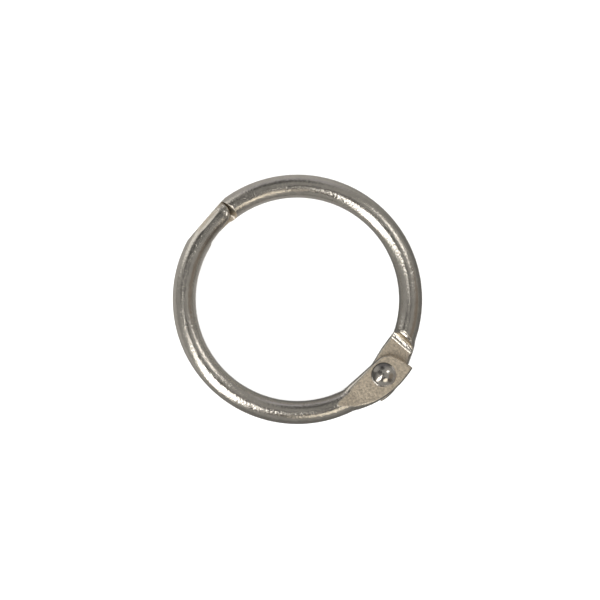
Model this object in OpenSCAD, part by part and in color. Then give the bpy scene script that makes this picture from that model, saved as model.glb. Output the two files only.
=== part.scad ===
// Hinged binder ring: two identical half rings of round wire, pressed flat and
// riveted at one end, lapped and hooked over each other at the other.
//
// The ring lies in the XY plane with its centre at the origin. The hinge is on +X
// and the clasp on -X. The upper half ring has its plate and its tongue above the
// mid-plane. The lower half ring is the same part turned over about the X axis.

/* [Ring] */
// Inside diameter of the closed ring
ring_id = 25.4; // [19:0.1:51]
// Diameter of the round wire
wire_d = 2.9; // [2.4:0.05:3.6]

/* [Hinge plates] */
// Thickness of each pressed plate, from the mid-plane
plate_t = 1.15; // [0.9:0.05:1.35]
// Width of the plate across the rivet
plate_w = 4.3; // [3.6:0.1:5.4]
// How far the plate's middle lies outside the rivet
plate_shift = 0.1; // [0:0.05:0.3]
// Lean of the plate's straight inner edge, in degrees
plate_lean = 7.2; // [4:0.1:10]
// Rivet to the furthest point of the plate's blunt end
plate_end = 3.02; // [2.6:0.05:3.6]
// Radius of that blunt end
end_r = 10.6; // [6:0.1:20]
// How far outside the rivet the blunt end's arc is centred
end_shift = 2.6; // [2:0.1:3]
// Rivet to the point where the plate's outer edge is furthest out
widest_y = 1; // [0:0.1:1.5]
// Rivet to the point where the plate's outer edge leaves the wire
plate_leave = 5.9; // [5:0.1:7]
// Gap between a plate's swinging corner and the other plate's step
step_gap = 0.4; // [0.2:0.05:0.8]
// Rivet to the point where the flat on the wire begins
flat_start = 6.5; // [5.9:0.1:7.8]
// Length over which that flat sinks to the plate's face
flat_runout = 1.2; // [0.8:0.1:1.6]
// How far the rivet sits outside the wire's centre line
rivet_offset = 0.25; // [0:0.05:0.5]
// Gap between the two plates
plate_gap = 0.06; // [0.02:0.01:0.1]

/* [Rivet] */
// Diameter of the shank
shank_d = 1.8; // [1.2:0.05:2.2]
// Diameter of the domed head
head_d = 3.1; // [2.6:0.05:3.5]
// Height of the domed head, its edge included
head_h = 0.65; // [0.4:0.05:0.9]
// Diameter of the flatter head that closes the other end
tail_d = 2.9; // [2.5:0.05:3.4]
// Height of the flatter head
tail_h = 0.45; // [0.3:0.05:0.7]
// Height of the upright edge round each head
head_edge = 0.12; // [0.05:0.01:0.2]
// Radial clearance of the turning plate's hole round the shank
turn_gap = 0.05; // [0.02:0.01:0.1]
// Gap under the domed head, so that the upper plate can turn
head_gap = 0.03; // [0.01:0.01:0.08]

/* [Clasp] */
// Clasp's centre line to the foot of each round shoulder
lap_foot = 1.85; // [1.5:0.05:2.6]
// Gap between a tongue's tip and the shoulder that it points at
tip_gap = 0.33; // [0.15:0.01:0.6]
// How much smaller a tongue's rounded tip is than the wire's radius
tip_trim = 0.03; // [0:0.01:0.1]
// How far the rounding is centred outside the wire's centre line
tip_shift = 0.29; // [0:0.01:0.4]
// Depth of each lap face below the mid-plane
lap_depth = 0.1; // [0.06:0.01:0.2]
// Height of the catch ridge on each lap face
ridge_h = 0.08; // [0.04:0.01:0.16]
// Depth of the groove on each lap face that faces the other's ridge
groove_depth = 0.14; // [0.06:0.01:0.25]
// Clasp's centre line to the ridge one way and to the groove the other way
catch_y = 1; // [0.6:0.05:1.2]
// Radius of the ridge
ridge_r = 0.2; // [0.16:0.01:0.26]
// How far the outside of the lap is pressed flat, at its middle
outer_press = 0.4; // [0.1:0.05:0.6]
// How far the inside of each tongue is trimmed, at its middle
inner_trim = 0.2; // [0.05:0.05:0.4]
// Lean of that trimmed edge, in degrees
trim_lean = 5; // [0:0.5:8]

/* [Hidden] */
$fn = 96;

wire_r = wire_d / 2;
inner_r = ring_id / 2;
centre_r = inner_r + wire_r;
outer_r = inner_r + wire_d;
rivet_x = centre_r + rivet_offset;
shank_r = shank_d / 2;
far = 2 * outer_r;

// The plate's outer edge is one arc, from the wire to furthest out a little past
// the rivet. Its centre and radius follow from those two points.
plate_out = rivet_x + plate_shift + plate_w / 2;
plate_in = rivet_x + plate_shift - plate_w / 2;
leave_x = sqrt(outer_r * outer_r - plate_leave * plate_leave);
edge_dx = plate_out - leave_x;
edge_dy = widest_y + plate_leave;
edge_r = (edge_dx * edge_dx + edge_dy * edge_dy) / (2 * edge_dx);
edge_c = [plate_out - edge_r, widest_y];

// The blunt end's arc, and the arc that takes off the corner at its inner side. The
// second passes a little outside the plate's end and its inner edge.
end_c = [rivet_x + end_shift, plate_end - end_r];
corner_shift = 1.2;
past_end = 0.33;
past_edge = 0.05;
corner_r = max(plate_end + past_end, corner_shift + rivet_x - plate_in + past_edge);

// Of the two points where circles a and b cross, the one to the left of a to b
function crossing(a, ra, b, rb) =
  let (
    d = norm(b - a),
    along = (ra * ra - rb * rb + d * d) / (2 * d),
    off = sqrt(ra * ra - along * along),
    u = (b - a) / d
  )
  a + along * u + off * [-u[1], u[0]];

// The plate's far corner swings past the foot of the other plate's step
plate_corner = crossing(edge_c, edge_r, end_c, end_r);
step_foot = norm(plate_corner - [rivet_x, 0]) + step_gap;

// The flat opens out from a point on the wire's crest, half this angle each side
flat_open = 104;
flat_angle = -asin(flat_start / centre_r);

// The step and the shoulders are quarter rounds of the wire's own radius
shoulder = lap_foot + wire_r;
nose_r = wire_r - lap_depth;
tip_top = shoulder - tip_gap;
nose_foot = tip_top - nose_r;
tip_r = wire_r - tip_trim;
groove_play = 0.06;
groove_r = ridge_r + groove_play;

// The wire is swept from past the clasp to inside the plate
wire_from = 160;
wire_sweep = 195;

steel = [0.74, 0.72, 0.68];

// Round wire
module wire() {
  rotate([0, 0, wire_from])
    rotate_extrude(angle = wire_sweep)
      translate([centre_r, 0])
        circle(r = wire_r);
}

// A profile drawn in Y and Z, drawn out along X over one side of the ring
module across(side) {
  translate([side > 0 ? 0 : -far, 0, 0])
    rotate([90, 0, 90])
      linear_extrude(height = far)
        children();
}

module plate_outline() {
  intersection() {
    translate(edge_c)
      circle(r = edge_r);
    translate(end_c)
      circle(r = end_r);
    translate([plate_in, 0])
      rotate([0, 0, -plate_lean])
        translate([0, -far])
          square([far, 2 * far]);
    rotate([0, 0, flat_angle])
      translate([centre_r, 0])
        polygon([
          [0, 0],
          [far * tan(flat_open / 2), far],
          [-far * tan(flat_open / 2), far]
        ]);
    union() {
      translate([rivet_x + corner_shift, 0])
        circle(r = corner_r);
      translate([0, -far])
        square([far, far]);
    }
  }
}

module plate() {
  translate([0, 0, plate_gap / 2])
    linear_extrude(height = plate_t - plate_gap / 2)
      plate_outline();
}

// What the press takes from under the upper plate, with the round step
module below_plate() {
  across(1) {
    translate([-step_foot, -far + plate_gap / 2])
      square([far, far]);
    translate([-step_foot, plate_gap / 2 - wire_r])
      circle(r = wire_r);
    translate([-step_foot - wire_r, -far + plate_gap / 2 - wire_r])
      square([far, far]);
  }
}

// What it takes from above, with the run-out of the flat
module above_plate() {
  across(1)
    polygon([
      [-flat_start, wire_r],
      [-flat_start + flat_runout, plate_t],
      [far, plate_t],
      [far, far],
      [-flat_start, far]
    ]);
}

// What is taken from under the upper tongue: shoulder, lap face and round nose
module below_tongue() {
  across(-1) {
    difference() {
      translate([-lap_foot, -far])
        square([2 * far, far + lap_depth]);
      translate([catch_y, lap_depth - ridge_h + ridge_r])
        circle(r = ridge_r);
    }
    translate([-catch_y, lap_depth + groove_depth - groove_r])
      circle(r = groove_r);
    translate([-lap_foot, lap_depth - wire_r])
      circle(r = wire_r);
    translate([-shoulder, -far])
      square([far, far - wire_r + lap_depth]);
    difference() {
      translate([nose_foot, -far])
        square([far, 2 * far]);
      translate([nose_foot, wire_r])
        circle(r = nose_r);
    }
  }
}

// The sides of the tongue: pressed flat outside, trimmed inside, rounded at the tip
module tongue_sides() {
  translate([-outer_r + outer_press - far, -far, -far])
    cube([far, 2 * far, 2 * far]);
  intersection() {
    translate([-inner_r - inner_trim, 0, -far])
      rotate([0, 0, trim_lean])
        translate([0, -far, 0])
          cube([far, 2 * far, 2 * far]);
    translate([-far, -lap_foot, -far])
      cube([far, far, 2 * far]);
  }
  difference() {
    translate([-far, tip_top - tip_r, -far])
      cube([far, far, 2 * far]);
    translate([-centre_r - tip_shift, tip_top - tip_r, -far])
      cylinder(r = tip_r, h = 2 * far);
  }
}

// The half ring with the upper plate and the upper tongue
module half_ring(hole_r) {
  difference() {
    union() {
      difference() {
        wire();
        below_plate();
        above_plate();
        below_tongue();
        tongue_sides();
      }
      plate();
    }
    translate([rivet_x, 0, -far])
      cylinder(r = hole_r, h = 2 * far);
  }
}

// A spherical cap with an upright edge, standing on z = 0
module rivet_head(d, h) {
  rise = h - head_edge;
  dome_r = (d * d / 4 + rise * rise) / (2 * rise);
  intersection() {
    cylinder(d = d, h = h);
    translate([0, 0, h - dome_r])
      sphere(r = dome_r);
  }
}

// Turns on the rivet
module upper_half_ring() {
  color(steel)
    half_ring(shank_r + turn_gap);
}

// Holds the rivet tightly
module lower_half_ring() {
  color(steel)
    rotate([180, 0, 0])
      half_ring(shank_r);
}

module hinge_rivet() {
  color(steel)
    translate([rivet_x, 0, 0]) {
      translate([0, 0, -plate_t])
        cylinder(r = shank_r, h = 2 * plate_t + head_gap);
      translate([0, 0, plate_t + head_gap])
        rivet_head(head_d, head_h);
      translate([0, 0, -plate_t])
        rotate([180, 0, 0])
          rivet_head(tail_d, tail_h);
    }
}

upper_half_ring();
lower_half_ring();
hinge_rivet();
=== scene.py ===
import math

import bmesh
import bpy
import numpy as np
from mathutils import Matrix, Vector


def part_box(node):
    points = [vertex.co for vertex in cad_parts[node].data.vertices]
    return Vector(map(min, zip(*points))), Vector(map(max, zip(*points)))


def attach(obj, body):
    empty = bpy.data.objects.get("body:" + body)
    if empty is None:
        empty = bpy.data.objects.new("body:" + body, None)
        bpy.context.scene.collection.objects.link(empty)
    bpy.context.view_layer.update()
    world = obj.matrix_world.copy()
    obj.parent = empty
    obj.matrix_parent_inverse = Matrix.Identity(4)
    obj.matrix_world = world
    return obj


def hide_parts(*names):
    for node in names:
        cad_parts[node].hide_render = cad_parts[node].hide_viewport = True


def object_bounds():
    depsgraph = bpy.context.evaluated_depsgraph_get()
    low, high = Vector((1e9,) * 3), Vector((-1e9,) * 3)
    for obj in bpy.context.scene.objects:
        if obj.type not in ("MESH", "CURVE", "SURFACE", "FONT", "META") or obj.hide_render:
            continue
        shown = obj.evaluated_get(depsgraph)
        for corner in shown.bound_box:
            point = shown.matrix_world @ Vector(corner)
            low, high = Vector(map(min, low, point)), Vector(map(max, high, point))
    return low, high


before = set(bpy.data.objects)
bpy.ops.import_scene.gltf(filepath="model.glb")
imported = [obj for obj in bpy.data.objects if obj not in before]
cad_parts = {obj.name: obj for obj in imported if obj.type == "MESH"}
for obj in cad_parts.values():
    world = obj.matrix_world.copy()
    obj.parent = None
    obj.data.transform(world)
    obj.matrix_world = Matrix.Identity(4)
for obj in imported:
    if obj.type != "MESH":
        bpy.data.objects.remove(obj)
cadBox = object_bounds()
mm = 0.001
rivetX = round(sum(corner[0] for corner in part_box("hinge_rivet")) / 2 / mm, 3)

# Sizes are in millimetres, in the frame of the CAD: hinge on +X, clasp on -X, Z up.
ring = dict(
    innerRadius=12.7,
    wireRadius=1.45,
    sides=96,  # points round the wire
    loops=150,  # along the plain wire, between the hinge and the clasp
    planeTurn=0.2,  # radians over which the loops turn from radial to straight across
    clear=0.05,  # how far outside the wire an empty cut lies
    weld=2e-7,  # metres within which points become one
    sliver=1e-8,  # metres below which an edge is dissolved
)
centreRadius = ring["innerRadius"] + ring["wireRadius"]
outerRadius = centreRadius + ring["wireRadius"]
profileStep = 0.005


def addNode(tree, kind, inputs=None, **settings):
    made = tree.nodes.new(kind)
    for name, value in settings.items():
        setattr(made, name, value)
    for name, value in (inputs or {}).items():
        if isinstance(value, bpy.types.NodeSocket):
            tree.links.new(value, made.inputs[name])
        else:
            made.inputs[name].default_value = value
    return made


def emptyMaterial(name):
    material = bpy.data.materials.new(name)
    material.use_nodes = True
    material.node_tree.nodes.clear()
    return material, material.node_tree


def newObject(name, data):
    made = bpy.data.objects.new(name, data)
    bpy.context.scene.collection.objects.link(made)
    return made


def fromHex(code):
    channels = [int(code[k:k + 2], 16) / 255 for k in (0, 2, 4)]
    linear = [v / 12.92 if v <= 0.04045 else ((v + 0.055) / 1.055) ** 2.4 for v in channels]
    return (*linear, 1.0)


# a line given as rows of (place, value, value ...), read at one place or many
def lineAt(place, line, column=1):
    return np.interp(place, [row[0] for row in line], [row[column] for row in line])


# values blurred by a bell curve of this width
def softened(values, sigma, step=profileStep, closed=False):
    reach = int(4 * sigma / step) + 1
    bell = np.exp(-0.5 * (np.arange(-reach, reach + 1) * step / sigma) ** 2)
    padded = np.pad(values, reach, mode="wrap" if closed else "edge")
    return np.convolve(padded, bell / bell.sum(), "valid")


# how far a rounded edge falls away, by the distance from that edge
def rounded(distance, radius):
    d = np.clip(distance, 0, radius)
    return radius - np.sqrt(np.maximum(radius**2 - (radius - d) ** 2, 0))


# places along a profile, closest together where it turns or climbs
def stations(along, profiles, count, spacing=0.16, climb=0.12, turn=math.radians(8), blur=0.02):
    step = along[1] - along[0]
    weight = np.full(len(along) - 1, abs(step) / spacing)
    for values in profiles:
        rise = np.diff(values)
        angle = np.arctan2(rise, step)
        weight += np.hypot(rise, step) / climb
        weight[1:] += np.abs(np.diff(angle)) / turn
    total = np.concatenate([[0], np.cumsum(softened(weight, blur))])
    return np.interp(np.linspace(0, total[-1], count), total, along)


# A closed outline gets softened edges, then its loop of points: half of them spread by
# length, half by how much the outline turns, so that rounded edges get enough.
def loopPoints(outline, soft, fine=900, blur=0.08):
    closed = np.vstack([outline, outline[:1]])
    length = np.concatenate([[0], np.cumsum(np.hypot(*np.diff(closed[:, :2], axis=0).T))])
    at = np.linspace(0, length[-1], fine, endpoint=False)
    step = length[-1] / fine
    columns = range(outline.shape[1])
    even = np.stack([np.interp(at, length, closed[:, k]) for k in columns], 1)
    if soft > step:
        even = np.stack([softened(even[:, k], soft, step, True) for k in columns], 1)
    side = (np.roll(even, -1, 0) - even)[:, :2]
    heading = np.unwrap(np.arctan2(side[:, 1], side[:, 0]))
    before = heading[-1] - 2 * math.pi * np.sign(heading[-1] - heading[0])
    turned = softened(np.abs(np.diff(heading, prepend=before)), blur, step, True)
    share = 0.5 / fine + 0.5 * turned / turned.sum()
    total = np.concatenate([[0], np.cumsum(share)])
    where = np.interp(np.arange(ring["sides"]) / ring["sides"], total, np.arange(fine + 1))
    again = np.vstack([even, even[:1]])
    return np.stack([np.interp(where, np.arange(fine + 1), again[:, k]) for k in columns], 1)


# the wire's own round section, from its outer middle, down and round
def roundSection(points=720):
    t = np.linspace(0, 2 * math.pi, points, endpoint=False)
    return centreRadius + ring["wireRadius"] * np.cos(t), -ring["wireRadius"] * np.sin(t)


# a wide box with elliptical flanks, drawn from its outer middle, down and round
def flankedOutline(
        outer, inner, topFlanks, lowFlanks, middle, top, depth, arcPoints=90, flatPoints=60):
    t = np.linspace(0, math.pi / 2, arcPoints)
    c, s = np.cos(t), np.sin(t)
    flat = np.linspace(0, 1, flatPoints)[1:-1]

    def across(flanks):
        return inner + flanks[0] + flat * (outer - flanks[1] - inner - flanks[0])

    (topIn, topOut), (lowIn, lowOut) = topFlanks, lowFlanks
    u = np.concatenate([
        outer - lowOut + lowOut * c, across(lowFlanks)[::-1], inner + lowIn - lowIn * s,
        inner + topIn - topIn * c[1:], across(topFlanks), outer - topOut + topOut * s])
    z = np.concatenate([
        middle - depth * s, np.full(len(flat), middle - depth), middle - depth * c,
        middle + (top - middle) * s[1:], np.full(len(flat), top), middle + (top - middle) * c])
    return np.stack([u, z], 1)


hinge = dict(
    loops=200,
    start=-6.8,  # where the straight loops begin
    plateTop=1.15,
    plateFace=0.03,
    plateIn=12.35,
    lean=7.2,  # degrees
    edgeCentre=(4.768, 1.0),
    edgeRadius=11.882,
    edgeMeets=-2.0,  # up to here the wire's own outside may stand further out
    edgeGuess=16.5,  # where the search for the outer edge of a turned loop starts
    edgeTries=8,
    endCentre=(17.0, -7.58),
    endRadius=10.6,
    endMiddle=14.6,  # turned loops are placed by where they cross this
    cornerShift=1.2,
    cornerRadius=3.35,
    flatStart=-6.5,
    flatEnd=-4.35,
    flatSoft=0.3,
    crestClear=0.02,
    fanStart=0.6,  # from here the loops turn towards the blunt end
    # along the plate: place, then how far the edge is rolled over, inside and outside
    topFlanks=(
        (-6.5, 1.66, 1.62), (-5.5, 1.4, 1.2), (-4.75, 0.95, 0.88), (-4.0, 0.62, 0.56),
        (-3.0, 0.48, 0.34), (-1.75, 0.36, 0.25), (-0.8, 0.24, 0.23), (3.1, 0.22, 0.23)),
    lowFlanks=(
        (-6.5, 1.66, 1.62), (-5.5, 1.66, 1.66), (-4.7, 1.7, 1.9), (-4.15, 1.0, 1.6),
        (-2.0, 0.6, 1.0), (0.0, 0.45, 0.6), (3.1, 0.4, 0.5)),
    # along the plate: place, then the height of the section's middle, its depth below
    # that, and how much of the wire's crest is left above the flat
    sectionMiddle=((-5.5, 0.0), (-3.9, 0.5)),
    sectionDepth=((-5.5, 1.45), (-4.1, 0.72)),
    crestLeft=((-6.2, 1.0), (-4.6, 0.0)),
    overTop=0.01,
    # the step behind the plate: place from the rivet, height above the plate's face in the
    # middle of the wire, and height one millimetre to either side
    stepLine=(
        (4.10, 0.0, 0.0), (4.17, 0.0, 0.0), (4.25, 0.055, 0.055), (4.33, 0.0, 0.0),
        (4.42, -0.02, -0.02), (4.58, 0.0, 0.0), (4.80, 0.09, 0.02), (4.90, 0.42, 0.46),
        (5.2, 1.0, 0.98), (5.34, 1.2, 1.06), (5.56, 1.29, 1.16), (5.8, 1.5, 1.5)),
    stepStart=-4.1,
    stepReach=1.2,
    stepSoft=0.035,
    # the satin skin: how sharply it begins on top and below, and where it ends below
    satinEdge=(0.008, 0.04),
    satinEnd=-4.15,
    # where the two pressings differ: the inner edge's bulge and the outer edge's hollow by
    # place and length, and the far corner by start and length
    innerBulge=(-2.4, 1.5),
    outerHollow=(-3.2, 1.6),
    cornerWorn=(0.8, 2.2),
    edgeSoft=0.06,
    edgeSoftGrows=0.3,
    topRound=0.16,
    faceRound=0.07,
)
# how each pressing differs a little from the drawn plate
pressings = dict(
    upper=dict(outerIn=0.0, innerOut=0.0, endShort=0.0, cornerOff=0.0),
    lower=dict(outerIn=0.16, innerOut=0.1, endShort=0.3, cornerOff=0.28),
)


# the pressed plate, loop by loop, on the upper half ring
def hingeLoops(variation):
    h = hinge
    w = ring["wireRadius"]
    lean = math.tan(math.radians(h["lean"]))

    def plateEnd(x):
        endX, endY = h["endCentre"]
        arc = np.sqrt(np.maximum(h["endRadius"] ** 2 - (x - endX) ** 2, 0))
        return endY - variation["endShort"] + arc

    last = float(plateEnd(h["endMiddle"]))
    y = np.arange(h["start"], last + profileStep, profileStep)
    y[-1] = last
    stepEnd = h["stepLine"][-1][0]
    low, beside = (
        np.where(-y > stepEnd, -w - ring["clear"], h["plateFace"] - lineAt(-y, h["stepLine"], k))
        for k in (1, 2))
    low, beside = (softened(line, h["stepSoft"]) for line in (low, beside))
    low, beside = (line + rounded(last - y, h["faceRound"]) for line in (low, beside))
    high = np.interp(y, [h["flatStart"], h["flatEnd"]], [w, h["plateTop"]])
    high = softened(np.where(y < h["flatStart"], w + h["crestClear"], high), h["flatSoft"])
    high = high - rounded(last - y, h["topRound"])

    def innerLimit(v):
        bulgeAt, bulgeLength = h["innerBulge"]
        bulge = variation["innerOut"] * math.exp(-(((v - bulgeAt) / bulgeLength) ** 2))
        straight = min(h["plateIn"] + v * lean - bulge, math.sqrt(ring["innerRadius"] ** 2 - v * v))
        arc = math.sqrt(max(h["cornerRadius"] ** 2 - max(v, 0) ** 2, 0))
        corner = rivetX + h["cornerShift"] - arc
        return max(straight, corner) if v > 0 else straight

    def outerLimit(v):
        edgeX, edgeY = h["edgeCentre"]
        hollowAt, hollowLength = h["outerHollow"]
        wornFrom, wornLength = h["cornerWorn"]
        edge = edgeX + math.sqrt(h["edgeRadius"] ** 2 - (v - edgeY) ** 2)
        edge -= variation["outerIn"] * math.exp(-(((v - hollowAt) / hollowLength) ** 2))
        edge -= variation["cornerOff"] * np.clip((v - wornFrom) / wornLength, 0, 1) ** 2
        return max(edge, math.sqrt(max(outerRadius**2 - v * v, 0))) if v < h["edgeMeets"] else edge

    loops = []
    for s in stations(y, [low, high], h["loops"]):
        turn = max(0.0, (s - h["fanStart"]) / (last - h["fanStart"]))

        def across(x):
            return s + turn * (plateEnd(x) - last)

        # a turned loop meets each edge at a place that depends on the edge, so go round
        inner, outer = h["plateIn"], h["edgeGuess"]
        for _ in range(h["edgeTries"]):
            inner, outer = innerLimit(float(across(inner))), outerLimit(float(across(outer)))
        # the round wire's own flanks give way to the rolled edges of the plate
        share = np.clip(s - h["flatStart"], 0, 1)
        centre = math.sqrt(centreRadius**2 - min(s, 0) ** 2)
        own = np.array([centre - inner, outer - centre])
        topFlanks, lowFlanks = (
            (1 - share) * own + share * np.array([lineAt(s, h[name], k) for k in (1, 2)])
            for name in ("topFlanks", "lowFlanks"))
        middle, depth = lineAt(s, h["sectionMiddle"]), lineAt(s, h["sectionDepth"])
        zLow, zHigh = np.interp(s, y, low), np.interp(s, y, high)
        top = zHigh + h["overTop"] + (w - zHigh) * lineAt(s, h["crestLeft"])
        u, z = flankedOutline(outer, inner, topFlanks, lowFlanks, middle, top, depth).T
        if s < h["stepStart"]:
            off = np.clip(np.abs(u - centre), 0, h["stepReach"]) ** 2
            zLow = zLow + off * (np.interp(s, y, beside) - zLow)
        sharpTop, sharpLow = h["satinEdge"]
        below = (zLow - z) / sharpLow if s >= h["satinEnd"] else 0
        satin = np.clip(np.where(z > 0, (z - zHigh) / sharpTop, below), 0, 1)
        soft = h["edgeSoft"] * np.clip((s - h["start"]) / h["edgeSoftGrows"], 0.01, 1)
        pressed = np.clip(z, np.minimum(zLow, zHigh), zHigh)
        x, z, satin = loopPoints(np.stack([u, pressed, satin], 1), soft).T
        loops.append(np.stack([x, across(x), z, satin], 1))
    # the blunt end closes on its own middle line
    end = loops[-1]
    middle = (end[:, 2].max() + end[:, 2].min()) / 2
    for share in (0.5, 0.0):
        shut = end.copy()
        shut[:, 2] = middle + (shut[:, 2] - middle) * share
        loops.append(shut)
    return loops[::-1]


# the plain wire between the hinge and the clasp
def wireLoops():
    r, z = loopPoints(np.stack(roundSection(), 1), 0).T
    first = math.asin(hinge["start"] / centreRadius)
    final = -math.pi - math.asin(clasp["start"] / centreRadius)
    loops = []
    for angle in np.linspace(first, final, ring["loops"] + 2)[1:-1]:
        level = centreRadius * math.sin(angle)
        straight = np.arcsin(np.clip(level / r, -1, 1))
        if angle < -math.pi / 2:
            straight = -math.pi - straight
        near = min(abs(angle - first), abs(angle - final)) / ring["planeTurn"]
        share = max(0.0, 1 - near)
        share = share * share * (3 - 2 * share)
        turned = angle + share * (straight - angle)
        loops.append(np.stack([r * np.cos(turned), r * np.sin(turned), z, 0 * z], 1))
    return loops


clasp = dict(
    loops=220,
    start=-3.75,
    lapFoot=-1.85,
    # the shoulder: place from the clasp's middle, then height above the lap face
    shoulderLine=(
        (2.2, 0.0), (2.5, 0.05), (2.72, 0.25), (2.98, 0.75), (3.12, 1.2), (3.2, 1.4),
        (3.32, 1.5), (3.5, 1.6)),
    lapDepth=0.1,
    lapSoft=0.03,
    ridge=(1.0, 0.08, 0.2),  # place, height, radius
    groove=(-1.0, 0.14, 0.26),  # place, depth, radius
    noseFoot=1.62,
    noseRadius=1.35,
    noseTop=0.95,
    tipCentre=(14.44, 1.55),
    tipRadius=1.42,
    tipShort=0.004,  # where the last loop stops, before the tip
    tipClose=0.002,  # how far the closing points move on from there
    tipRound=0.3,
    tipThick=0.04,  # the least that is left of the tip's rim
    tipDish=(0.5, 0.09, 0.16),  # distance from the edge, depth, half width
    tipGrows=0.6,  # the length over which the rim and the dish appear
    tipAbove=0.6,  # they shape only what is higher than this
    outerFlat=15.2,
    facet=(14.5, 1.4, 0.6),  # where it starts, its height there, and its slope
    facetLift=(0.15, -3.6, 1.6),  # height at its start, place of that, and length
    facetDull=(0.15, 0.2, 0.6),  # how far out its satin starts, grows over, and how satin
    facetSharp=0.03,
    innerTrim=12.9,
    trimLean=5.0,
    trimSoft=0.16,
    satinStart=-2.3,
    shoulderDull=0.5,
    satinAbove=0.01,
    edgeSoft=0.055,
    edgeSoftGrows=(0.3, 0.4),  # from the start, and back from the tip
    edgeSoftLeast=(0.01, 0.15),
)


# the tongue of the clasp, on the upper half ring
def claspLoops():
    c = clasp
    tipU, tipY = c["tipCentre"]
    tip = tipY + c["tipRadius"]
    last = tip - c["tipShort"]
    y = np.arange(c["start"], last + profileStep, profileStep)
    y[-1] = last

    # the underside: shoulder, lap face with its ridge and groove, and nose
    depth = c["lapDepth"]
    low = depth - lineAt(-y, c["shoulderLine"])
    low = np.where(-y > c["shoulderLine"][-1][0], -ring["wireRadius"] - ring["clear"], low)
    place, height, radius = c["ridge"]
    bump = depth - height + radius - np.sqrt(np.maximum(radius**2 - (y - place) ** 2, 0))
    low = np.where(np.abs(y - place) < radius, np.minimum(low, bump), low)
    place, dent, radius = c["groove"]
    hollow = depth + dent - radius + np.sqrt(np.maximum(radius**2 - (y - place) ** 2, 0))
    low = np.where(np.abs(y - place) < radius, np.maximum(low, hollow), low)
    nose = np.sqrt(np.maximum(c["noseRadius"] ** 2 - (y - c["noseFoot"]) ** 2, 0))
    low = np.where(y > c["noseFoot"], ring["wireRadius"] - nose, low)
    low = softened(np.minimum(low, c["noseTop"]), c["lapSoft"])

    # the sides: pressed flat outside, trimmed inside, round at the tip
    half = np.sqrt(np.maximum(c["tipRadius"] ** 2 - np.maximum(y - tipY, 0) ** 2, 0))
    outer = np.where(y > tipY, np.minimum(c["outerFlat"], tipU + half), c["outerFlat"])
    lean = math.tan(math.radians(c["trimLean"]))
    inner = np.where(y > c["lapFoot"], c["innerTrim"] + y * lean, 0)
    inner = softened(np.maximum(inner, np.sqrt(ring["innerRadius"] ** 2 - y * y)), c["trimSoft"])
    inner = np.where(y > tipY, np.maximum(inner, tipU - half), inner)

    facetU, facetZ, facetLean = c["facet"]
    liftHeight, liftAt, liftLength = c["facetLift"]
    dullFrom, dullOver, dull = c["facetDull"]
    dishAt, dishDepth, dishWidth = c["tipDish"]
    r, level = roundSection()
    loops = []
    for s in stations(y, [low, np.where(y > tipY, half, c["tipRadius"])], c["loops"]):
        u = np.sqrt(np.maximum(r * r - s * s, 0))
        u = np.clip(u, np.interp(s, y, inner), np.interp(s, y, outer))
        under = np.interp(s, y, low)
        z = np.maximum(level, under)
        lift = liftHeight * (1 - np.clip((s - liftAt) / liftLength, 0, 1)) ** 2
        z = np.where(u > facetU, np.minimum(z, facetZ + lift - (u - facetU) * facetLean), z)
        if s > tipY:
            fromEdge = c["tipRadius"] - np.hypot(u - tipU, s - tipY)
            dish = dishDepth * np.exp(-(((fromEdge - dishAt) / dishWidth) ** 2))
            grown = min((s - tipY) / c["tipGrows"], 1)
            taken = grown * (rounded(fromEdge, c["tipRound"]) + dish)
            z = np.where(z > c["tipAbove"], z - taken, z)
            z = np.maximum(z, np.where(level > 0, under + c["tipThick"], under))
        grows = [(s - c["start"]) / c["edgeSoftGrows"][0], (tip - s) / c["edgeSoftGrows"][1]]
        soft = c["edgeSoft"] * min([1] + [max(*pair) for pair in zip(grows, c["edgeSoftLeast"])])
        flattened = np.clip((level - z) / c["facetSharp"], 0, 1)
        flattened = dull * flattened * np.clip((u - facetU - dullFrom) / dullOver, 0, 1)
        lapped = 1.0 if s > c["satinStart"] else c["shoulderDull"]
        satin = np.where((level < 0) & (z > level + c["satinAbove"]), lapped, 0.0)
        satin = np.where(level > 0, flattened, satin)
        u, z, satin = loopPoints(np.stack([u, z, satin], 1), soft).T
        loops.append(np.stack([-u, np.full(len(u), s), z, satin], 1))
    # the tip closes on its own middle
    end = loops[-1]
    middle = end.mean(0)
    for share in (0.5, 0.0):
        shut = middle + (end - middle) * share
        shut[:, 1] = end[:, 1] + c["tipClose"] * (1 - share)
        loops.append(shut)
    return loops


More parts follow.
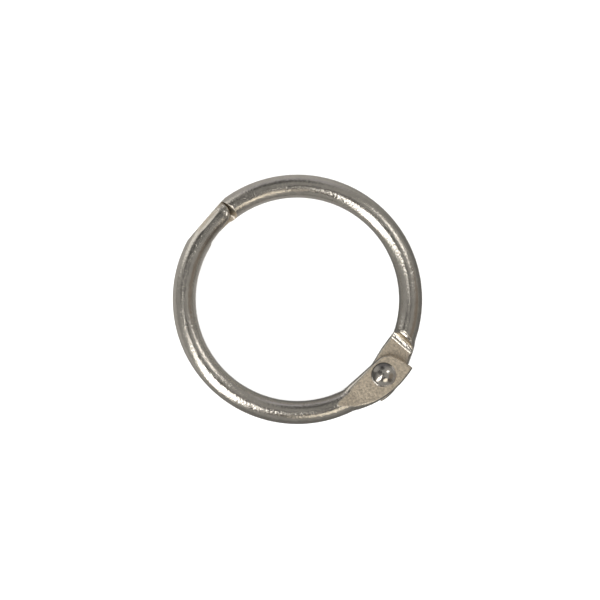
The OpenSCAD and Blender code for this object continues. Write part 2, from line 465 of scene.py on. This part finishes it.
# round wire swept along an arc, as drawn wire is bent round a mandrel
def wireTree():
    tree = bpy.data.node_groups.new("sweptWire", "GeometryNodeTree")
    tree.interface.new_socket("Geometry", in_out="OUTPUT", socket_type="NodeSocketGeometry")
    sockets = {}
    for name, kind in (
        ("Centre radius", "Float"), ("Wire radius", "Float"), ("Start", "Float"),
        ("Sweep", "Float"), ("Rings", "Int"), ("Sides", "Int"), ("Finish", "Material"),
    ):
        made = tree.interface.new_socket(name, in_out="INPUT", socket_type="NodeSocket" + kind)
        sockets[name] = made.identifier
    given = addNode(tree, "NodeGroupInput").outputs
    path = addNode(tree, "GeometryNodeCurveArc", {
        "Resolution": given["Rings"], "Radius": given["Centre radius"],
        "Start Angle": given["Start"], "Sweep Angle": given["Sweep"]})
    section = addNode(tree, "GeometryNodeCurvePrimitiveCircle", {
        "Resolution": given["Sides"], "Radius": given["Wire radius"]})
    swept = addNode(tree, "GeometryNodeCurveToMesh", {
        "Curve": path.outputs["Curve"], "Profile Curve": section.outputs["Curve"]})
    real = addNode(tree, "GeometryNodeRealizeInstances", {"Geometry": swept.outputs["Mesh"]})
    finished = addNode(tree, "GeometryNodeSetMaterial", {
        "Geometry": real.outputs["Geometry"], "Material": given["Finish"]})
    addNode(tree, "NodeGroupOutput", {"Geometry": finished.outputs["Geometry"]})
    return tree, sockets


# the swept wire as a plain mesh, one loop of points for each loop of the half ring
def sweptWire(name, loops, material):
    tree, sockets = wireTree()
    made = newObject(name, bpy.data.meshes.new(name + "Start"))
    modifier = made.modifiers.new("sweptWire", "NODES")
    modifier.node_group = tree
    sizes = {"Centre radius": centreRadius, "Wire radius": ring["wireRadius"], "Start": 0.0,
             "Sweep": -math.pi, "Rings": loops, "Sides": ring["sides"], "Finish": material}
    for key, value in sizes.items():
        modifier[sockets[key]] = value
    graph = bpy.context.evaluated_depsgraph_get()
    mesh = bpy.data.meshes.new_from_object(made.evaluated_get(graph))
    made.modifiers.clear()
    made.data = mesh
    mesh.name = name
    return made


def finishMesh(work, mesh):
    bmesh.ops.recalc_face_normals(work, faces=work.faces)
    for face in work.faces:
        face.smooth = True
    work.to_mesh(mesh)
    work.free()


def addAttribute(mesh, name, kind, field, values):
    made = mesh.attributes.new(name, kind, "POINT")
    made.data.foreach_set(field, values.reshape(-1).astype(np.float32))


# the swept wire, pressed: each of its loops takes the shape of one station
def pressedHalf(name, variation, turnedOver, material):
    loops = np.array(hingeLoops(variation) + wireLoops() + claspLoops())
    made = sweptWire(name, len(loops), material)
    loops, satin = loops[..., :3], np.clip(loops[..., 3], 0, 1)
    x, y, z = np.moveaxis(loops, -1, 0)
    around = np.arctan2(z, np.hypot(x, y) - centreRadius)
    length = -np.unwrap(np.arctan2(y, x), axis=0) * centreRadius
    section = np.stack([np.cos(around), np.sin(around)], -1) * ring["wireRadius"]
    place = np.concatenate([length[..., None], section], -1)
    if turnedOver:
        loops = loops * (1, -1, -1)
    mesh = made.data
    mesh.vertices.foreach_set("co", (loops * mm).reshape(-1))
    addAttribute(mesh, "pressed", "FLOAT", "value", satin)
    addAttribute(mesh, "alongWire", "FLOAT_VECTOR", "vector", place)
    mesh.update()
    work = bmesh.new()
    work.from_mesh(mesh)
    bmesh.ops.remove_doubles(work, verts=work.verts, dist=ring["weld"])
    bmesh.ops.dissolve_degenerate(work, dist=ring["sliver"], edges=work.edges)
    holes = [edge for edge in work.edges if edge.is_boundary]
    if holes:
        bmesh.ops.holes_fill(work, edges=holes, sides=0)
    finishMesh(work, mesh)
    print(name, len(mesh.vertices), "points,", len(mesh.polygons), "faces")
    return made


# Noise seldom leaves this range, so its full effect is spread over it.
noiseRange = {"From Min": 0.3, "From Max": 0.7}
nickel = dict(
    plateColour="D8D1C6",
    plateDark="BCB6AA",
    cloudPerMm=0.8,
    pressedColour="C9BCA8",
    pressedTone=(0.62, 1.3),
    wireRoughness=(0.12, 0.27),
    pressedRoughness=(0.46, 0.6),
    # how many to a millimetre: drawing lines, along and across the wire, pits, and the
    # tool's grain; the real ones are too fine to show, so all are drawn coarser
    streakPerMm=(0.5, 6.0, 6.0),
    pitsPerMm=4.0,
    grainPerMm=4.0,
    # bumps: strength, then depth in millimetres
    drawnLines=(0.45, 0.03),
    pits=(0.9, 0.035),
    toolMarks=(0.7, 0.05),
)


# bright nickel on drawn steel wire: mirror-like, with faint drawing lines and pits;
# where the press has struck it, a satin skin with the grain of the tool
def platedWire():
    n = nickel
    material, tree = emptyMaterial("nickelPlatedSteelWire")
    satin = addNode(tree, "ShaderNodeAttribute", attribute_name="pressed").outputs["Fac"]
    wirePlace = addNode(tree, "ShaderNodeAttribute", attribute_name="alongWire").outputs["Vector"]
    objectPlace = addNode(tree, "ShaderNodeTexCoord").outputs["Object"]
    streakPlace = addNode(tree, "ShaderNodeMapping", {
        "Vector": wirePlace, "Scale": n["streakPerMm"]}).outputs["Vector"]
    streaks, pits, grain, cloud = (
        addNode(tree, "ShaderNodeTexNoise", {
            "Vector": where, "Scale": scale, "Detail": detail, "Roughness": rough}).outputs["Fac"]
        for where, scale, detail, rough in (
            (streakPlace, 1.0, 3.0, 0.6),
            (objectPlace, n["pitsPerMm"] / mm, 2.0, 0.5),
            (objectPlace, n["grainPerMm"] / mm, 3.0, 0.65),
            (objectPlace, n["cloudPerMm"] / mm, 4.0, 0.6),
        ))
    tone, wireRough, satinRough = (
        addNode(tree, "ShaderNodeMapRange", {
            "Value": noise, **noiseRange, "To Min": low, "To Max": high}).outputs["Result"]
        for noise, (low, high) in (
            (grain, n["pressedTone"]),
            (streaks, n["wireRoughness"]),
            (grain, n["pressedRoughness"]),
        ))
    wireColour = addNode(tree, "ShaderNodeMix", {
        0: cloud, 6: fromHex(n["plateDark"]), 7: fromHex(n["plateColour"]),
    }, data_type="RGBA").outputs[2]
    satinColour = addNode(tree, "ShaderNodeMix", {
        0: 1.0, 6: fromHex(n["pressedColour"]), 7: tone,
    }, data_type="RGBA", blend_type="MULTIPLY").outputs[2]
    colour = addNode(tree, "ShaderNodeMix", {
        0: satin, 6: wireColour, 7: satinColour}, data_type="RGBA")
    rough = addNode(tree, "ShaderNodeMix", {0: satin, 2: wireRough, 3: satinRough})
    grainHeight = addNode(tree, "ShaderNodeMath", {
        0: grain, 1: satin}, operation="MULTIPLY").outputs["Value"]
    lines = addNode(tree, "ShaderNodeBump", {
        "Strength": n["drawnLines"][0], "Distance": n["drawnLines"][1] * mm, "Height": streaks})
    skin = addNode(tree, "ShaderNodeBump", {
        "Strength": n["pits"][0], "Distance": n["pits"][1] * mm, "Height": pits,
        "Normal": lines.outputs["Normal"]})
    struck = addNode(tree, "ShaderNodeBump", {
        "Strength": n["toolMarks"][0], "Distance": n["toolMarks"][1] * mm, "Height": grainHeight,
        "Normal": skin.outputs["Normal"]})
    shader = addNode(tree, "ShaderNodeBsdfPrincipled", {
        "Base Color": colour.outputs[2], "Metallic": 1.0, "Roughness": rough.outputs[0],
        "Normal": struck.outputs["Normal"]})
    addNode(tree, "ShaderNodeOutputMaterial", {"Surface": shader.outputs["BSDF"]})
    return material


rivet = dict(
    shankRadius=0.9,
    turnGap=0.05,  # round the shank in the plate that turns
    pressGap=0.002,  # and in the plate that holds it
    headRadius=1.55,
    domeRadius=1.4,
    headSeat=1.18,
    headRise=0.65,
    headEdge=0.05,
    headOff=(-0.13, -0.03),  # the closing tool never strikes quite true
    headOffGrows=(0.02, 0.05),  # from just below the seat, over this height
    tailRadius=1.45,
    tailDomeRadius=1.38,
    tailSeat=-1.15,
    tailRise=0.45,
    lip=0.07,  # how softly the dome meets its rim
    sides=96,
    domeSteps=40,
    edgeSteps=6,
    seatSteps=8,
    profileStep=0.01,
    keepEvery=3,
    colour="D6CFC4",
    tone=(0.9, 1.05),
    roughness=(0.12, 0.22),
    dentsPerMm=1.3,
    grainPerMm=8.0,  # coarser than the plating's own, so that it shows
    # bumps: strength, then depth in millimetres
    dents=(0.5, 0.08),
    grain=(0.3, 0.01),
    # painted shade round the heads: how dark, from what height to what height, and how much it
    # leans inwards
    paintedShadeDark=0.34,
    paintedShadeHeights=(1.1, 1.45),
    paintedShadeLean=0.45,
    drillSides=64,
    drillLength=6.0,
    sharpAngle=60,  # degrees, round the drilled hole
)


# barrel-plated nickel on a cold-headed steel rivet: brighter than the wire, with a few flats from
# the closing tool, and painted shade low round both heads, most on the ring's inside
def platedRivet():
    v = rivet
    material, tree = emptyMaterial("nickelPlatedRivet")
    objectPlace = addNode(tree, "ShaderNodeTexCoord").outputs["Object"]
    dents, grain = (
        addNode(tree, "ShaderNodeTexNoise", {
            "Vector": objectPlace, "Scale": scale / mm, "Detail": detail, "Roughness": rough,
        }).outputs["Fac"]
        for scale, detail, rough in ((v["dentsPerMm"], 1.0, 0.4), (v["grainPerMm"], 3.0, 0.6)))
    tone, rough = (
        addNode(tree, "ShaderNodeMapRange", {
            "Value": grain, **noiseRange, "To Min": low, "To Max": high}).outputs["Result"]
        for low, high in (v["tone"], v["roughness"]))
    # painted shade: each head is darkened low down near its rim, and more towards the ring's inside
    place = addNode(tree, "ShaderNodeSeparateXYZ", {"Vector": objectPlace}).outputs
    height = addNode(tree, "ShaderNodeMath", {0: place["Z"]}, operation="ABSOLUTE").outputs[0]
    inwards = addNode(tree, "ShaderNodeMath", {
        0: place["X"], 1: -rivetX * mm}, operation="ADD").outputs[0]
    level = addNode(tree, "ShaderNodeMath", {
        0: inwards, 1: v["paintedShadeLean"], 2: height}, operation="MULTIPLY_ADD").outputs[0]
    lowest, highest = v["paintedShadeHeights"]
    paintedShade = addNode(tree, "ShaderNodeMapRange", {
        "Value": level, "From Min": lowest * mm, "From Max": highest * mm,
        "To Min": v["paintedShadeDark"], "To Max": 1.0}).outputs["Result"]
    colour = fromHex(v["colour"])
    for shade in (tone, paintedShade):
        colour = addNode(tree, "ShaderNodeMix", {
            0: 1.0, 6: colour, 7: shade}, data_type="RGBA", blend_type="MULTIPLY").outputs[2]
    hollow = addNode(tree, "ShaderNodeBump", {
        "Strength": v["dents"][0], "Distance": v["dents"][1] * mm, "Height": dents})
    skin = addNode(tree, "ShaderNodeBump", {
        "Strength": v["grain"][0], "Distance": v["grain"][1] * mm, "Height": grain,
        "Normal": hollow.outputs["Normal"]})
    shader = addNode(tree, "ShaderNodeBsdfPrincipled", {
        "Base Color": colour, "Metallic": 1.0, "Roughness": rough,
        "Normal": skin.outputs["Normal"]})
    addNode(tree, "ShaderNodeOutputMaterial", {"Surface": shader.outputs["BSDF"]})
    return material


# half profile of a domed head from its top down to its seat, as (radius, height)
def headProfile(radius, domeRadius, rise):
    v = rivet
    dome = rise - v["headEdge"]
    sphere = (domeRadius**2 + dome**2) / (2 * dome)
    spread = math.asin(domeRadius / sphere)
    angles = np.linspace(0, spread, v["domeSteps"])
    line = [(sphere * math.sin(a), rise - sphere * (1 - math.cos(a))) for a in angles]
    line += [(radius, v["headEdge"] * k) for k in np.linspace(0.9, 0, v["edgeSteps"])]
    seat = np.linspace(0, radius - v["shankRadius"], v["seatSteps"])[1:]
    line += [(radius - k, 0.0) for k in seat]
    line = np.array(line)
    fine = np.concatenate([[0], np.cumsum(np.hypot(*np.diff(line, axis=0).T))])
    at = np.arange(0, fine[-1], v["profileStep"])
    even = np.stack([np.interp(at, fine, line[:, k]) for k in (0, 1)], 1)
    mirrored = np.vstack([even[::-1] * (-1, 1), even[1:]])
    smooth = np.stack([softened(mirrored[:, k], v["lip"] / 2, v["profileStep"]) for k in (0, 1)], 1)
    smooth = smooth[len(even) - 1:]
    smooth[0, 0] = 0
    smooth[-1] = line[-1]
    kept = smooth[::v["keepEvery"]]
    return kept if (len(smooth) - 1) % v["keepEvery"] == 0 else np.vstack([kept, smooth[-1:]])


# one lathed piece: head, shank and tail
def makeRivet(material):
    v = rivet
    head = headProfile(v["headRadius"], v["domeRadius"], v["headRise"])
    tail = headProfile(v["tailRadius"], v["tailDomeRadius"], v["tailRise"]) * (1, -1)
    profile = np.vstack([head + (0, v["headSeat"]), (tail + (0, v["tailSeat"]))[::-1]])
    offX, offY = v["headOff"]
    offBelow, offOver = v["headOffGrows"]
    turns = np.linspace(0, 2 * math.pi, v["sides"], endpoint=False)
    work = bmesh.new()
    rings = []
    for radius, height in profile:
        share = np.clip((height - v["headSeat"] + offBelow) / offOver, 0, 1)
        x, y = rivetX + offX * share, offY * share
        around = turns if radius > 0 else turns[:1]
        points = [(x + radius * math.cos(a), y + radius * math.sin(a), height) for a in around]
        rings.append([work.verts.new([value * mm for value in point]) for point in points])
    for one, two in zip(rings, rings[1:]):
        for k in range(v["sides"]):
            after = k + 1
            corners = [
                one[k % len(one)], one[after % len(one)], two[after % len(two)], two[k % len(two)]]
            work.faces.new(list(dict.fromkeys(corners)))
    mesh = bpy.data.meshes.new("hingeRivetDomed")
    finishMesh(work, mesh)
    mesh.materials.append(material)
    print("hingeRivetDomed", len(mesh.polygons), "faces")
    return newObject("hingeRivetDomed", mesh)


def drillPlate(plate, gap):
    v = rivet
    radius = (v["shankRadius"] + gap) * mm
    work = bmesh.new()
    bmesh.ops.create_cone(
        work, cap_ends=True, segments=v["drillSides"], radius1=radius, radius2=radius,
        depth=v["drillLength"] * mm)
    bmesh.ops.translate(work, verts=work.verts, vec=(rivetX * mm, 0, 0))
    mesh = bpy.data.meshes.new("drill")
    work.to_mesh(mesh)
    work.free()
    drill = newObject("drill", mesh)
    cut = plate.modifiers.new("hole", "BOOLEAN")
    cut.operation = "DIFFERENCE"
    cut.solver = "EXACT"
    cut.object = drill
    graph = bpy.context.evaluated_depsgraph_get()
    drilled = bpy.data.meshes.new_from_object(plate.evaluated_get(graph))
    plate.modifiers.clear()
    plate.data = drilled
    bpy.data.objects.remove(drill)
    drilled.set_sharp_from_angle(angle=math.radians(v["sharpAngle"]))


steelFinish = platedWire()
rivetFinish = platedRivet()
print("finishes made")
upperHalf = pressedHalf("upperHalfRing", pressings["upper"], False, steelFinish)
lowerHalf = pressedHalf("lowerHalfRing", pressings["lower"], True, steelFinish)
drillPlate(upperHalf, rivet["turnGap"])
drillPlate(lowerHalf, rivet["pressGap"])
rivetPiece = makeRivet(rivetFinish)
for piece, body, node, slot in (
    (upperHalf, "upper", "upper_half_ring", "nickel_plate"),
    (lowerHalf, "lower", "lower_half_ring", "nickel_plate"),
    (rivetPiece, "lower", "hinge_rivet", "rivet_nickel"),
):
    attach(piece, body)
    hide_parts(node)
print("pieces made")

studio = dict(
    floorHalf=1.5,  # metres
    floorColour="F7F7F5",
    # how bright the metal sees the table, away from the window and towards it, and the
    # places along X between which that changes
    floorSeen=(0.20, 0.5),
    floorTurns=(8, -12),
    roomLight=2.0,
    wallGrey=0.31,
    # soft cards round the ring: turn and tilt from straight up in degrees, how far they
    # reach, their grey and their tint
    cards=(
        (140, 84, 40, 0.50, "F6F6FF"),  # pale wall behind
        (0, 0, 10, 0.04, "FFFFFF"),  # dark ceiling, straight above
        (140, 52, 19, 0.07, "FFFFFF"),  # dark, above the pale wall
        (188, 30, 19, 0.06, "FFFFFF"),  # dark, left
        (301, 33, 25, 0.06, "FFF4F8"),  # dark, front
        (184, 70, 25, 1.10, "FFFFFF"),  # window
        (331, 45, 15, 1.7, "FFF8EA"),  # warm window
        (2, 66, 24, 0.12, "FFF2E8"),  # dark, right
        (32, 62, 24, 0.24, "FFEFE0"),  # brown, right
    ),
    cardCore=0.6,  # the share of a card's reach that has its full grey
    # soft boxes: turn, tilt, length up and down, width, brightness
    keyBox=(267.0, 44.0, 0.64, 0.14, 5.0),
    fillBox=(74.0, 43.0, 0.19, 0.13, 2.4),
    boxDistance=0.5,  # metres
)


# plain white board, matt; the metal sees it dimmer away from the window
def makeFloor():
    material, tree = emptyMaterial("whiteBoard")
    path = addNode(tree, "ShaderNodeLightPath")
    board = addNode(tree, "ShaderNodeBsdfDiffuse", {"Color": fromHex(studio["floorColour"])})
    objectPlace = addNode(tree, "ShaderNodeTexCoord").outputs["Object"]
    place = addNode(tree, "ShaderNodeSeparateXYZ", {"Vector": objectPlace})
    (far, near), (turnFrom, turnTo) = studio["floorSeen"], studio["floorTurns"]
    level = addNode(tree, "ShaderNodeMapRange", {
        "Value": place.outputs["X"], "From Min": turnFrom * mm, "From Max": turnTo * mm,
        "To Min": far, "To Max": near})
    seen = addNode(tree, "ShaderNodeEmission", {
        "Color": (1, 1, 1, 1), "Strength": level.outputs["Result"]})
    both = addNode(tree, "ShaderNodeMixShader", {
        0: path.outputs["Is Glossy Ray"], 1: board.outputs["BSDF"], 2: seen.outputs["Emission"]})
    addNode(tree, "ShaderNodeOutputMaterial", {"Surface": both.outputs["Shader"]})
    half = studio["floorHalf"]
    height = round(cadBox[0][2] / mm, 3) * mm  # the ring stands on its lowest point
    corners = [(a * half, b * half, height) for a, b in ((-1, -1), (1, -1), (1, 1), (-1, 1))]
    mesh = bpy.data.meshes.new("floor")
    mesh.from_pydata(corners, [], [(0, 1, 2, 3)])
    mesh.materials.append(material)
    newObject("floor", mesh)


def aim(turn, tilt):
    turn, tilt = math.radians(turn), math.radians(tilt)
    across = math.sin(tilt)
    return Vector((math.cos(turn) * across, math.sin(turn) * across, math.cos(tilt)))


# grey walls with soft cards, as the metal sees them; the table is lit by a pale room
def makeWorld():
    world = bpy.data.worlds.new("studio")
    bpy.context.scene.world = world
    world.use_nodes = True
    tree = world.node_tree
    tree.nodes.clear()
    direction = addNode(tree, "ShaderNodeTexCoord").outputs["Generated"]
    wall, room = studio["wallGrey"], studio["roomLight"]
    shade = (wall, wall, wall, 1)
    for turn, tilt, reach, grey, tint in studio["cards"]:
        near = addNode(tree, "ShaderNodeVectorMath", {
            0: direction, 1: aim(turn, tilt)}, operation="DOT_PRODUCT").outputs["Value"]
        inside = addNode(tree, "ShaderNodeMapRange", {
            "Value": near, "From Min": math.cos(math.radians(reach)),
            "From Max": math.cos(math.radians(reach * studio["cardCore"])),
        }, interpolation_type="SMOOTHSTEP")
        colour = tuple(grey * v for v in fromHex(tint)[:3]) + (1,)
        shade = addNode(tree, "ShaderNodeMix", {
            0: inside.outputs["Result"], 6: shade, 7: colour}, data_type="RGBA").outputs[2]
    path = addNode(tree, "ShaderNodeLightPath")
    seen = addNode(tree, "ShaderNodeMix", {
        0: path.outputs["Is Glossy Ray"], 6: (room, room, room, 1), 7: shade}, data_type="RGBA")
    back = addNode(tree, "ShaderNodeBackground", {"Color": seen.outputs[2], "Strength": 1.0})
    addNode(tree, "ShaderNodeOutputWorld", {"Surface": back.outputs["Background"]})


# a soft box aimed at the ring, as bright as given whatever its size
def softBox(name, turn, tilt, length, width, radiance):
    light = bpy.data.lights.new(name, "AREA")
    light.shape = "ELLIPSE"
    light.size, light.size_y = width, length
    light.energy = radiance * math.pi * width * length * math.pi / 4
    made = newObject(name, light)
    toward = aim(turn, tilt)
    made.location = toward * studio["boxDistance"]
    made.rotation_euler = toward.to_track_quat("Z", "Y").to_euler()


makeFloor()
makeWorld()
for name in ("keyBox", "fillBox"):
    softBox(name, *studio[name])

# straight down, turned so that the hinge comes to the lower right
view = dict(turn=41.1, width=75.0, lens=200.0, sensor=36.0, right=0.325, up=-0.081, clipStart=0.005)
camera = bpy.data.cameras.new("camera")
camera.lens = view["lens"]
camera.sensor_width = view["sensor"]
camera.clip_start = view["clipStart"]
cameraObject = newObject("camera", camera)
turn = math.radians(view["turn"])
x = (view["right"] * math.cos(turn) - view["up"] * math.sin(turn)) * mm
y = (view["right"] * math.sin(turn) + view["up"] * math.cos(turn)) * mm
cameraObject.location = (x, y, view["width"] * mm * view["lens"] / view["sensor"])
cameraObject.rotation_euler = (0, 0, turn)
bpy.context.scene.camera = cameraObject
bpy.context.scene.view_settings.view_transform = "Standard"
print("studio made")
